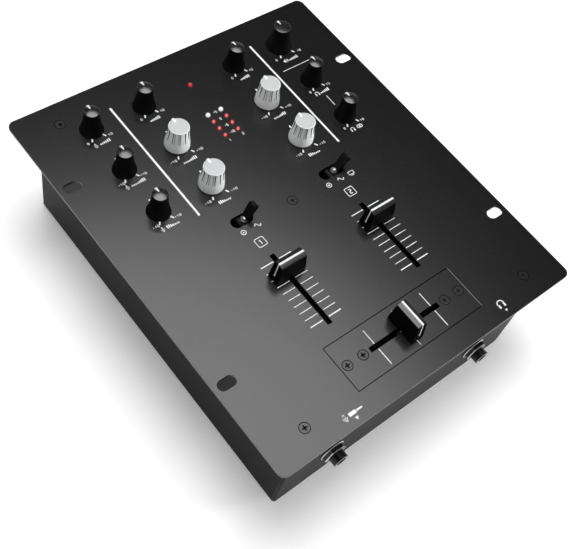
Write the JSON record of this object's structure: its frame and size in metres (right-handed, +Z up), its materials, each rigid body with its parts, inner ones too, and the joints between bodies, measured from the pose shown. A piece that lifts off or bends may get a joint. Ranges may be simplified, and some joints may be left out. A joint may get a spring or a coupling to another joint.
{
  "type": "dj mixer",
  "caption": "Tabletop DJ mixer: folded steel case under an overhanging control panel with rotary knobs, channel faders, a crossfader, toggle levers and lights; jacks in front, sockets behind.",
  "frame": {"origin": "on the standing surface under the middle of the mixer", "axes": "+X to the player's right, +Y to the rear connectors, +Z up"},
  "size_m": [0.21, 0.249, 0.0935],
  "materials": {
    "case_black": "satin black powder coat",
    "panel_black": "satin black powder coat",
    "plate_black": "satin black powder coat",
    "zinc": "zinc-plated sheet",
    "rubber_black": "matte rubber",
    "screw_black": "black oxide",
    "board_green": "solder mask",
    "pot_grey": "moulded",
    "carriage_steel": "stamped lever in a moulded slider",
    "cap_black": "satin, white line on the ridge",
    "switch_black": "moulded",
    "lever_black": "gloss",
    "light_red": "diffused lens, lit",
    "light_white": "diffused lens",
    "jack_black": "moulded",
    "nickel": "nickel plate",
    "socket_black": "moulded",
    "insert_white": "moulded, red on the lower row in use",
    "shaft_aluminium": "turned",
    "knob_black": "gloss, white pointer",
    "knob_white": "satin"
  },
  "bodies": {
    "case": {"chassis": "case_black", "top_panel": "panel_black", "crossfader_plate": "plate_black", "crossfader_brackets": "zinc", "feet": "rubber_black", "panel_screws": "screw_black", "board_pillars": "zinc", "main_board": "board_green", "pot_bodies": "pot_grey", "channel_fader_frames": "zinc", "crossfader_frame": "zinc", "toggle_bodies": "switch_black", "red_lights": "light_red", "white_lights": "light_white", "jack_bodies": "jack_black", "jack_ferrules": "nickel", "jack_washers": "nickel", "jack_nuts": "nickel", "rear_board": "board_green", "phono_blocks": "socket_black", "phono_shells": "nickel", "phono_inserts": "insert_white", "usb_socket": "nickel", "power_inlet": "socket_black", "power_switch_frame": "switch_black", "ground_post": "nickel", "ground_nut": "nickel"},
    "mic_gain": {"mic_gain_shaft": "shaft_aluminium", "mic_gain_knob": "knob_black"},
    "mic_treble": {"mic_treble_shaft": "shaft_aluminium", "mic_treble_knob": "knob_black"},
    "mic_bass": {"mic_bass_shaft": "shaft_aluminium", "mic_bass_knob": "knob_black"},
    "gain_1": {"gain_1_shaft": "shaft_aluminium", "gain_1_knob": "knob_black"},
    "treble_1": {"treble_1_shaft": "shaft_aluminium", "treble_1_knob": "knob_white"},
    "bass_1": {"bass_1_shaft": "shaft_aluminium", "bass_1_knob": "knob_white"},
    "gain_2": {"gain_2_shaft": "shaft_aluminium", "gain_2_knob": "knob_black"},
    "treble_2": {"treble_2_shaft": "shaft_aluminium", "treble_2_knob": "knob_white"},
    "bass_2": {"bass_2_shaft": "shaft_aluminium", "bass_2_knob": "knob_white"},
    "master": {"master_shaft": "shaft_aluminium", "master_knob": "knob_black"},
    "cue_gain": {"cue_gain_shaft": "shaft_aluminium", "cue_gain_knob": "knob_black"},
    "cue_mix": {"cue_mix_shaft": "shaft_aluminium", "cue_mix_knob": "knob_black"},
    "channel_1": {"channel_1_carriage": "carriage_steel", "channel_1_cap": "cap_black"},
    "channel_2": {"channel_2_carriage": "carriage_steel", "channel_2_cap": "cap_black"},
    "crossfader": {"crossfader_carriage": "carriage_steel", "crossfader_cap": "cap_black"},
    "toggle_1": {"toggle_1_lever": "lever_black"},
    "toggle_2": {"toggle_2_lever": "lever_black"},
    "rocker": {"power_rocker": "switch_black"}
  },
  "joints": [
    {"name": "mic_gain_turn", "type": "hinge", "parent": "case", "child": "mic_gain", "pos_m": [-0.0671, 0.0974, 0.0775], "axis": [0, 0, -1], "range_deg": [-150, 150]},
    {"name": "mic_treble_turn", "type": "hinge", "parent": "case", "child": "mic_treble", "pos_m": [-0.0671, 0.0649, 0.0775], "axis": [0, 0, -1], "range_deg": [-150, 150]},
    {"name": "mic_bass_turn", "type": "hinge", "parent": "case", "child": "mic_bass", "pos_m": [-0.0671, 0.0324, 0.0775], "axis": [0, 0, -1], "range_deg": [-150, 150]},
    {"name": "gain_1_turn", "type": "hinge", "parent": "case", "child": "gain_1", "pos_m": [-0.0323, 0.0974, 0.0775], "axis": [0, 0, -1], "range_deg": [-150, 150]},
    {"name": "treble_1_turn", "type": "hinge", "parent": "case", "child": "treble_1", "pos_m": [-0.0323, 0.0649, 0.0775], "axis": [0, 0, -1], "range_deg": [-150, 150]},
    {"name": "bass_1_turn", "type": "hinge", "parent": "case", "child": "bass_1", "pos_m": [-0.0323, 0.0324, 0.0775], "axis": [0, 0, -1], "range_deg": [-150, 150]},
    {"name": "gain_2_turn", "type": "hinge", "parent": "case", "child": "gain_2", "pos_m": [0.0323, 0.0974, 0.0775], "axis": [0, 0, -1], "range_deg": [-150, 150]},
    {"name": "treble_2_turn", "type": "hinge", "parent": "case", "child": "treble_2", "pos_m": [0.0323, 0.0649, 0.0775], "axis": [0, 0, -1], "range_deg": [-150, 150]},
    {"name": "bass_2_turn", "type": "hinge", "parent": "case", "child": "bass_2", "pos_m": [0.0323, 0.0324, 0.0775], "axis": [0, 0, -1], "range_deg": [-150, 150]},
    {"name": "master_turn", "type": "hinge", "parent": "case", "child": "master", "pos_m": [0.0671, 0.0974, 0.0775], "axis": [0, 0, -1], "range_deg": [-150, 150]},
    {"name": "cue_gain_turn", "type": "hinge", "parent": "case", "child": "cue_gain", "pos_m": [0.0671, 0.0649, 0.0775], "axis": [0, 0, -1], "range_deg": [-150, 150]},
    {"name": "cue_mix_turn", "type": "hinge", "parent": "case", "child": "cue_mix", "pos_m": [0.0671, 0.0324, 0.0775], "axis": [0, 0, -1], "range_deg": [-150, 150]},
    {"name": "channel_1_slide", "type": "slide", "parent": "case", "child": "channel_1", "axis": [0, 1, 0], "range_m": [-0.0343, 0.0107]},
    {"name": "channel_2_slide", "type": "slide", "parent": "case", "child": "channel_2", "axis": [0, 1, 0], "range_m": [-0.0343, 0.0107]},
    {"name": "crossfader_slide", "type": "slide", "parent": "case", "child": "crossfader", "axis": [1, 0, 0], "range_m": [-0.0225, 0.0225]},
    {"name": "toggle_1_lean", "type": "hinge", "parent": "case", "child": "toggle_1", "pos_m": [-0.0323, 0.0042, 0.0725], "axis": [0, 1, 0], "range_deg": [-48, 0]},
    {"name": "toggle_2_lean", "type": "hinge", "parent": "case", "child": "toggle_2", "pos_m": [0.0323, 0.0042, 0.0725], "axis": [0, 1, 0], "range_deg": [-72, 0]},
    {"name": "rocker_tip", "type": "hinge", "parent": "case", "child": "rocker", "pos_m": [0.072, 0.1155, 0.0385], "axis": [1, 0, 0], "range_deg": [-18, 0]}
  ]
}
